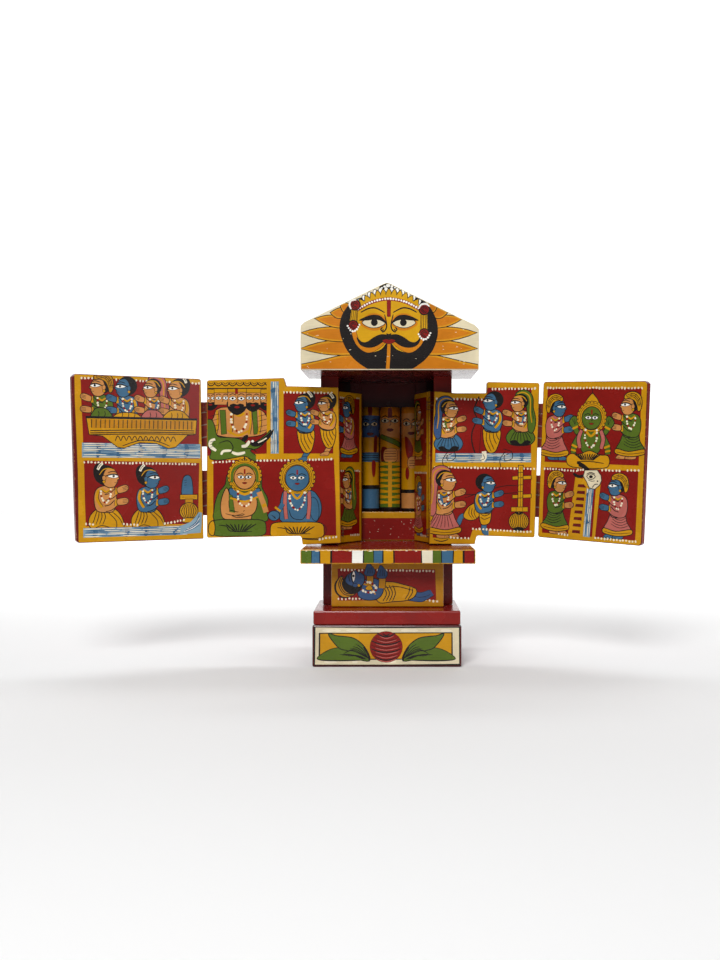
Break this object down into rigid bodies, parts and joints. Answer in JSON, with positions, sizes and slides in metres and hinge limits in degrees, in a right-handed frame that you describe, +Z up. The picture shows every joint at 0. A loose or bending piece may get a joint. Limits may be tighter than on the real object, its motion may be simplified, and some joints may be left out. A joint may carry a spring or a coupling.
{
  "type": "folding shrine box",
  "caption": "Painted wooden folding shrine: gabled cabinet with standing idols behind inner doors, hinged picture wings and a drawer in its stepped foot.",
  "frame": {"origin": "on the ground under the foot, on the line midway along the foot's underside, 40 mm behind its front face", "axes": "+X to the right as one faces the open shrine, +Z up, -Y towards the viewer"},
  "size_m": [0.4591, 0.1447, 0.3055],
  "materials": {
    "painted_wood": "glossy varnished folk painting in red, yellow, green, blue and black",
    "bare_wood": "dry unpainted softwood",
    "painted_cloth": "strong cotton cloth, painted red and varnished",
    "rusty_wire": "thin iron wire, rusted brown"
  },
  "bodies": {
    "shrine": {"plinth_block": "painted_wood", "plinth_slab": "painted_wood", "stand_wall_left": "painted_wood", "stand_wall_right": "painted_wood", "stand_back_board": "painted_wood", "shelf": "painted_wood", "post_left": "painted_wood", "post_right": "painted_wood", "side_wall_left": "painted_wood", "side_wall_right": "painted_wood", "back_board": "painted_wood", "top_board": "painted_wood", "idol_step": "painted_wood", "niche_post_left": "painted_wood", "niche_post_right": "painted_wood", "idol_left": "painted_wood", "idol_centre": "painted_wood", "idol_right": "painted_wood", "gable": "painted_wood", "left_post_staple_upper": "rusty_wire", "left_post_staple_lower": "rusty_wire", "right_post_staple_upper": "rusty_wire", "right_post_staple_lower": "rusty_wire"},
    "drawer": {"drawer_front": "painted_wood", "drawer_tray": "bare_wood"},
    "inner_door_left": {"inner_door_left": "painted_wood"},
    "inner_door_right": {"inner_door_right": "painted_wood"},
    "left_inner_wing": {"left_inner_leaf": "painted_wood", "left_inner_eye_upper": "rusty_wire", "left_inner_eye_lower": "rusty_wire", "left_leaf_staple_upper": "rusty_wire", "left_leaf_staple_lower": "rusty_wire", "left_hinge_cloth_upper": "painted_cloth", "left_hinge_cloth_lower": "painted_cloth"},
    "left_outer_wing": {"left_outer_leaf": "painted_wood", "left_outer_eye_upper": "rusty_wire", "left_outer_eye_lower": "rusty_wire"},
    "right_inner_wing": {"right_inner_leaf": "painted_wood", "right_inner_eye_upper": "rusty_wire", "right_inner_eye_lower": "rusty_wire", "right_leaf_staple_upper": "rusty_wire", "right_leaf_staple_lower": "rusty_wire", "right_hinge_cloth_upper": "painted_cloth", "right_hinge_cloth_lower": "painted_cloth"},
    "right_outer_wing": {"right_outer_leaf": "painted_wood", "right_outer_eye_upper": "rusty_wire", "right_outer_eye_lower": "rusty_wire"}
  },
  "joints": [
    {"name": "left_wing_hinge", "type": "hinge", "parent": "shrine", "child": "left_inner_wing", "pos_m": [-0.0372, 0.0035, 0.16], "axis": [0, 0, 1], "range_deg": [0, 150]},
    {"name": "left_leaf_hinge", "type": "hinge", "parent": "left_inner_wing", "child": "left_outer_wing", "pos_m": [-0.1525, 0.0035, 0.17], "axis": [0, 0, 1], "range_deg": [-40, 145]},
    {"name": "right_wing_hinge", "type": "hinge", "parent": "shrine", "child": "right_inner_wing", "pos_m": [0.033, 0.0095, 0.16], "axis": [0, 0, 1], "range_deg": [-150, 0]},
    {"name": "right_leaf_hinge", "type": "hinge", "parent": "right_inner_wing", "child": "right_outer_wing", "pos_m": [0.1247, 0.0085, 0.1], "axis": [0.0315, 0, 0.9995], "range_deg": [-138, 34]},
    {"name": "inner_door_left_pin", "type": "hinge", "parent": "shrine", "child": "inner_door_left", "pos_m": [-0.0446, 0.0243, 0.16], "axis": [0, 0, 1], "range_deg": [-59, 16]},
    {"name": "inner_door_right_pin", "type": "hinge", "parent": "shrine", "child": "inner_door_right", "pos_m": [0.0405, 0.0293, 0.16], "axis": [0, 0, 1], "range_deg": [-5, 73]},
    {"name": "drawer_slide", "type": "slide", "parent": "shrine", "child": "drawer", "axis": [0, -1, 0], "range_m": [-0.009, 0.014]}
  ]
}
